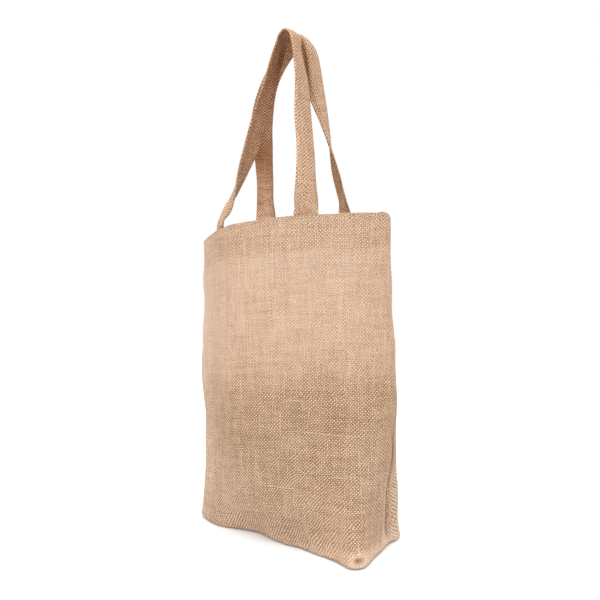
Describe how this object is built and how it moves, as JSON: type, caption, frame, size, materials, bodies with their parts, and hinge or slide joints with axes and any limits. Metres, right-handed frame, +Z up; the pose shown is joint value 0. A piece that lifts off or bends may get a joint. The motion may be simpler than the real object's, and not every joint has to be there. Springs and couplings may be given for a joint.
{
  "type": "jute tote bag",
  "caption": "Open-topped tote bag of plain-woven jute, standing upright on its folded base, with a turned-in hem and twin strap handles that rise to a peak.",
  "frame": {"origin": "on the floor, under the middle of the whole bag's extents", "axes": "+X across the bag to the right, +Y from the front panel to the back panel, +Z up"},
  "size_m": [0.3186, 0.1754, 0.6584],
  "materials": {
    "bag_body": "plain-woven natural jute, rough and matt",
    "front_handle": "plain-woven natural jute strap, rough and matt",
    "back_handle": "plain-woven natural jute strap, rough and matt"
  },
  "bodies": {
    "root": {"bag_body": "bag_body", "front_handle": "front_handle", "back_handle": "back_handle"}
  },
  "joints": []
}
